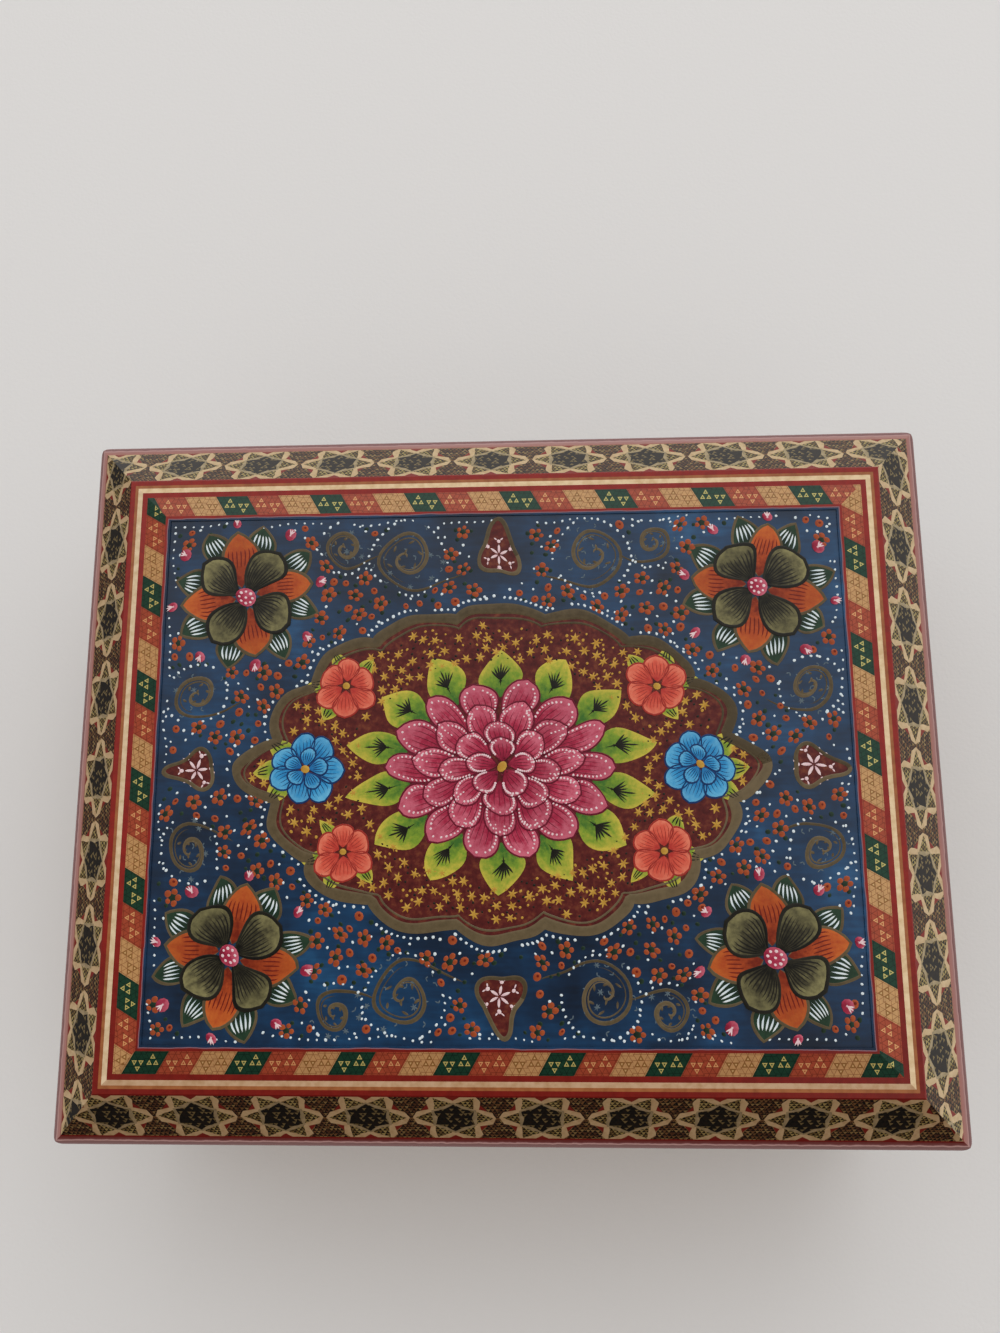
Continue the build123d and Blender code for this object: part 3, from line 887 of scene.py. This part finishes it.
# Corner rosettes of khaki and orange petals
for x, y in QUARTERS:
    centre = CORNER * (x, y)
    turn = math.degrees(math.atan2(-y * CORNER[1], -x * CORNER[0]))
    spokes = np.radians(turn + 22.5 + 45 * np.arange(8))
    petal_row(
        *petals(centre, spokes, 7.5, 17.4, 3.2, fullness=0.9, cup=0.8), PETAL_LEVEL - 0.04,
        ("corner_leaves", forest), ("corner_outlines", olive, 0.3),
        ("corner_highlights", white, 0.19, COAT, 0.04, np.linspace(-0.6, 0.6, 5), 0.45, 0.8))
    crossways = turn + 90 * np.arange(4)
    petal_row(
        *petals(centre, np.radians(crossways + 45), 2.5, 15.0, 3.9, fullness=1.2, cup=0.75), PETAL_LEVEL,
        ("corner_orange_petals", orange), ("corner_outlines", olive, 0.34),
        ("corner_hatching", russet, 0.17, FINE, 0.02, np.linspace(-0.7, 0.7, 7), 0.35, 0.75))
    petal_row(
        *petals(centre, np.radians(crossways), 1.5, 12.2, 4.6), PETAL_LEVEL + 0.03,
        ("corner_khaki_petals", khaki), ("corner_ink", ink, 0.42),
        ("corner_ink", ink, 0.17, FINE, 0.025, np.linspace(-0.75, 0.75, 9), 0.1, 0.7), around=9)
    buds = centre + 17.0 * unit(spokes + math.pi / 8)
    dabs("pink_buds", pink, buds, 1.25, 0.08, PETAL_LEVEL + 0.02)
    glints = tufts(buds, spokes + math.pi / 8, 0.5, 3, -0.5, 1.4)
    lines("bud_highlights", blush, glints, 0.16, FINE, PETAL_LEVEL + 0.1)
    dabs("pink_buds", pink, [centre], 2.4, 0.06, PETAL_LEVEL + 0.09, steps=9)
    pips = centre + 1.5 * unit(spokes)
    dabs("bud_highlights", blush, np.concatenate([pips, [centre]]), 0.34, 0.04, TOP_LEVEL + 0.04)

# Pendants: maroon drops with a white sprig, at the middle of each edge
for x, y, size, turn in PENDANTS:
    for sign in (1, -1):
        centre = np.array([x, y]) * sign
        outline = drop_outline(size, turn if sign > 0 else turn + 180) + centre
        name = "pendant_%s_%s" % ("long" if x else "short", "plus" if sign > 0 else "minus")
        paint(name, [plaque(outline, centre)], maroon)
        outline_line("pendant_outlines", outline, 3, 0.45)
        spokes = np.radians(turn + 60 * np.arange(6))
        lines("pendant_sprigs", blush, tufts([centre] * 6, spokes, 0, 1, 0.3, 2.5), 0.3, 0.05, FIELD)
        tips = centre + 3.2 * unit(spokes)
        dabs("pendant_sprigs", blush, tips, 0.42, 0.06, FIELD)
        lines("pendant_sprigs", blush, tufts(tips, spokes, 0.9, 2, 0.4, 1.3), 0.16, 0.04, FIELD)

# Scrolls with white dots along them
for x, y, radius in SCROLLS:
    part = np.linspace(0, 1, 46)
    angle = -math.pi / 2 + 2 * math.pi * 1.55 * part
    swirl = unit(angle) * (radius * (1 - part) ** 0.8)[:, None]
    tail_part = np.linspace(1, 0, 12)[:-1, None]
    tail = np.array([0.0, -radius]) + tail_part * (-1.9 * radius, 0.0) + tail_part ** 2 * (0.0, 0.55 * radius)
    path = np.concatenate([tail, swirl]) + (x, y)
    lines("scrolls", olive, quarters([path]), 0.42, 0.06, GROUND, seed=2)
    lines("scrolls", olive, quarters([(swirl * 0.8 + (x, y))[:34]]), 0.16, 0.05, GROUND, seed=4)
    hooks = np.arange(4, 44, 5)
    hooked = tufts((swirl * 0.55 + (x, y))[hooks], angle[hooks] + 1.2, 0, 1, 0.0, radius * 0.22)
    lines("scrolls", olive, quarters(hooked), 0.26, 0.05, GROUND, seed=6)
    ring = (radius + 1.4) * unit(turns_of(int(radius * 4.6))) + (x, y)
    keep = (np.abs(ring) < PANEL_HALF - 1.2).all(axis=1) & (np.arange(len(ring)) % 9 > 1)
    keep &= (past_medallion(ring) > 1.6) & (far_from(ring, CORNER) > CORNER_REACH)
    white_dots(quarters(ring[keep]), 0.3, 9)


def round_scrolls(points):
    """True for points in the scrolls' rings."""
    folded = np.abs(points)
    rings = [far_from(folded, (x, y)) < radius + 1.2 for x, y, radius in SCROLLS]
    return np.any(rings, axis=0) & (folded < PANEL_HALF - 1.5).all(axis=1)


motes = scatter(round_scrolls, 1.5, 2500, 21)
turns = np.random.default_rng(22).uniform(0, 2 * math.pi, len(motes))
lines("scroll_motes", slate, tufts(motes, turns, 0.9, 2, -0.1, 0.75), 0.13, 0.04, GROUND, seed=23)
crosses("scroll_motes", slate, motes[::5], turns[::5], 0.8, 0.12, 0.04, GROUND)

# Orange blossoms, berries and green dabs on the blue, and a string of dots inside the edge
flowers = scatter(outside, 4.6, 3000, 11)
crown = 1.15 * unit(np.radians(72 * np.arange(5)))
dabs("orange_blossoms", terracotta, (flowers[:, None] + crown).reshape(-1, 2), 0.62, 0.09, GROUND, seed=12)
dabs("green_dabs", forest, flowers, 0.75, 0.07, GROUND, seed=13)
berries = scatter(outside, 2.9, 4000, 14, flowers)
dabs("orange_berries", terracotta, berries, 0.85, 0.1, GROUND, seed=15)
dabs("berry_marks", russet, berries + (0.1, 0.15), 0.3, 0.05, GROUND + 0.08, seed=16)
dots = scatter(lambda points: outside(points, -0.6), 1.75, 7000, 17, np.concatenate([flowers, berries]))
white_dots(dots[::2], 0.3, 18)
dabs("green_dabs", forest, dots[1::2], 0.5, 0.06, GROUND, seed=19)
reach = PANEL_HALF - 1.3
rows = []
for order in (1, -1):
    along, off = reach[::order]
    step = np.arange(-along, along, 1.9)
    rows += [np.stack([step, np.full(len(step), sign * off)][::order], -1) for sign in (-1, 1)]
border = np.concatenate(rows)
white_dots(border[np.arange(len(border)) % 11 > 2], 0.27, 20, 0.07)

for name, (made, marks) in coats.items():
    paint(name, marks, made)


# Linings, felt and hinges

def cloth(name, colour, shade, fuzz, pile):
    """Short pile: soft sheen at the edges of a form, with patches where the nap lies another way."""
    made, place = material(name)
    fibres = noise(place, per(pile), 2.0)
    finish_surface({
        "Base Color": ramp(noise(place, per(14), 3.0), {0.35: shade, 0.65: colour}),
        "Roughness": 0.9,
        "Sheen Weight": fuzz,
        "Sheen Roughness": 0.35,
        "Sheen Tint": tint(colour),
        "Normal": bumps(fibres, pile, 0.5),
    })
    return made


def round_loop(low, high, radius):
    """Closed loop round a rectangle with round corners, from its low and high corner."""
    turn = np.linspace(0, math.pi / 2, 5)
    loop = []
    for quarter, (right, up) in enumerate(((1, 1), (0, 1), (0, 0), (1, 0))):
        centre = [(low[axis], high[axis])[far] - radius * (2 * far - 1) for axis, far in enumerate((right, up))]
        loop.append(centre + radius * unit(math.radians(90 * quarter) + turn))
    return np.concatenate(loop)


def mitred_piece(name, side, profile, made, body):
    """A section of (inset, height) points carried along one side, its two ends cut on the mitre."""
    reach, half_run = HALF if side in ("right", "left") else HALF[::-1]
    along = np.array([-1.0, 1.0])[:, None] * (half_run - profile[:, 0])
    out = np.broadcast_to(profile[:, 0] - reach, along.shape)
    up = np.broadcast_to(profile[:, 1], along.shape)
    turn = TURN[side]
    points = np.stack([along * math.cos(turn) - out * math.sin(turn),
                       along * math.sin(turn) + out * math.cos(turn), up], -1).reshape(-1, 3)
    count = len(profile)
    here = np.arange(count)
    after = (here + 1) % count
    faces = np.stack([here, after, after + count, here + count], -1).tolist()
    faces += [here[::-1].tolist(), (here + count).tolist()]
    return make_piece(name, points, faces, made, body)


PAD_GRID = (61, 49)


def pad_piece(name, node, crown, direction, made, body, spare=0.0):
    """Thin stuffed pad: flat on its card, crowned on the other face, with soft hollows and rolled edges.

    The height is (1 - x^10)(1 - y^10) of the crown and its long waves, over a grid that is square
    on the middle and crowded at the edges; it stays the spare height under the node's top."""
    low, high = low_high(node) - np.array([[0, 0, 0], [0, 0, spare]])
    middle, half = (low + high) / 2, (high - low) / 2
    u, v = (np.sin(np.linspace(-math.pi / 2, math.pi / 2, n)) for n in PAD_GRID)
    x, y = np.meshgrid(u, v, indexing="ij")
    edge = np.sqrt(np.clip((1 - x ** 40) * (1 - y ** 40), 0, 1))
    plump = (1 - x ** 10) * (1 - y ** 10)
    waves = 0.12 * np.sin(5 * x + 1.0) * np.sin(4 * y + 0.5)
    thick = high[2] - low[2]
    rise = edge * thick + plump * (crown + waves)
    card = low[2] if direction > 0 else high[2]
    top = np.stack([middle[0] + x * half[0], middle[1] + y * half[1], card + direction * rise], -1)
    rows, cols = PAD_GRID
    index = np.arange(rows * cols).reshape(rows, cols)
    quad = np.stack([index[:-1, :-1], index[1:, :-1], index[1:, 1:], index[:-1, 1:]], -1).reshape(-1, 4)
    rim = np.concatenate([index[:-1, 0], index[-1, :-1], index[:0:-1, -1], index[0, :0:-1]])
    after = np.roll(rim, -1)
    below = np.full(rows * cols, -1)
    below[rim] = np.arange(len(rim)) + rows * cols
    wall = np.stack([rim, below[rim], below[after], after], -1)
    centre = rows * cols + len(rim)
    fan = np.stack([below[after], below[rim], np.full(len(rim), centre)], -1)
    top = top.reshape(-1, 3)
    points = np.concatenate([top, top[rim] * (1, 1, 0) + (0, 0, card), [[middle[0], middle[1], card]]])
    faces = [face for group in (quad, wall, fan) for face in group[:, ::direction].tolist()]
    return make_piece(name, points, faces, made, body)


velvet = cloth("wine_red_velvet", "701b29", "5b1521", 0.6, 0.5)
for side in SIDES:
    low, high = low_high(side + "_lining")
    axis = 0 if side in ("right", "left") else 1
    outer = max(abs(low[axis]), abs(high[axis]))
    inset = HALF[axis] - outer
    loop = round_loop((inset, low[2]), (inset + 1.0, high[2]), 0.45)
    height = (loop[:, 1] - low[2]) / (high[2] - low[2])
    inner_face = loop[:, 0] > inset + 0.5
    loop[:, 0] += np.where(inner_face, 0.4 * np.sin(math.pi * height), 0)
    piece = mitred_piece(side + "_velvet", side, loop, velvet, "box")
    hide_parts(side + "_lining")

pad = pad_piece("floor_velvet_pad", "floor_lining", 1.1, 1, velvet, "box")
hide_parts("floor_lining")
pad = pad_piece("lid_velvet_pad", "lid_lining", 0.9, -1, velvet, "lid")
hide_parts("lid_lining")
felt = cloth("green_felt", "2f4a34", "25392a", 0.3, 0.8)
pad = pad_piece("green_base_felt", "base_felt", 0.0, 1, felt, "box", spare=0.05)
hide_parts("base_felt")

made, place = material("drawn_brass")
drawn = noise(stretched(place, 6, 0.25, 0.25), 1.0, 2.0)
finish_surface({
    "Base Color": ramp(noise(place, per(4), 3.0), {0.35: "9a7434", 0.65: "c9a255"}),
    "Metallic": 1.0,
    "Roughness": 0.3,
    "Normal": bumps(drawn, 0.02, 0.4),
})
give(made, "box_hinge_nails", "lid_hinge_nails")
for hand in ("left", "right"):
    give(made, hand + "_hinge_box_leaf", hand + "_hinge_lid_leaf", hand + "_hinge_pin")


# Camera, light and floor

LENS_MM = 25.96
SENSOR_MM = 36.0
CAMERA_PLACE_MM = (8.38, -14.67, 291.79)
CAMERA_DEGREES = (9.989, 2.311, -0.282)
TABLE_REACH_M = 12.0
WEAVE_PER_M = 900.0
ROOM_LIGHT = 1.18

camera_data = bpy.data.cameras.new("camera")
camera_data.sensor_width = SENSOR_MM
camera_data.lens = LENS_MM
camera_data.clip_start = 0.01
camera = placed("camera", camera_data)
camera.location = np.array(CAMERA_PLACE_MM) * MM
camera.rotation_euler = [math.radians(angle) for angle in CAMERA_DEGREES]
bpy.context.scene.camera = camera

floor_mesh = bpy.data.meshes.new("table_cloth")
corners = [(x * TABLE_REACH_M, y * TABLE_REACH_M, 0) for x, y in ((-1, -1), (1, -1), (1, 1), (-1, 1))]
floor_mesh.from_pydata(corners, [], [(0, 1, 2, 3)])
floor = placed("table_cloth", floor_mesh)
made, place = material("white_linen_cloth")
weave = noise(place, WEAVE_PER_M, 2.0)
finish_surface({
    "Base Color": tint("e2e2e2"),
    "Roughness": 0.9,
    "Normal": bumps(weave, 0.2, 0.3),
})
floor_mesh.materials.append(made)

world = bpy.data.worlds.new("soft_room")
bpy.context.scene.world = world
world.use_nodes = True
tree = world.node_tree
way = add("TexCoord", {}, "Generated", tree)
facing = fade(vec("DOT_PRODUCT", way, (0.10, 0.80, 0.60)), -0.25, 0.9)
sky_light = ramp(facing, {0: "c6bab0", 0.4: "c0bcb8", 1: "ffffff"})
overhead = fade(vec("DOT_PRODUCT", way, (-0.12, -0.22, 0.97)), 0.88, 0.985, 0.8)
sky_light = mixed(overhead, sky_light, "000000")
seen = add("LightPath", {}, "Is Camera Ray", tree)
sky_light = mixed(seen, sky_light, "dcdad8")
tree.links.new(sky_light, tree.nodes["Background"].inputs["Color"])
tree.nodes["Background"].inputs["Strength"].default_value = ROOM_LIGHT

WINDOW_PLACE_M = (0.3, 1.3, 1.2)
WINDOW_AIM_M = (0, 0.1, 0)
window_data = bpy.data.lights.new("window", "AREA")
window_data.size = 1.1
window_data.energy = 5
window = placed("window", window_data)
window.location = WINDOW_PLACE_M
x, y, z = np.subtract(WINDOW_AIM_M, WINDOW_PLACE_M)
window.rotation_euler = (math.atan2(math.hypot(x, y), -z), 0, math.atan2(-x, y))

bpy.context.scene.view_settings.view_transform = "Standard"
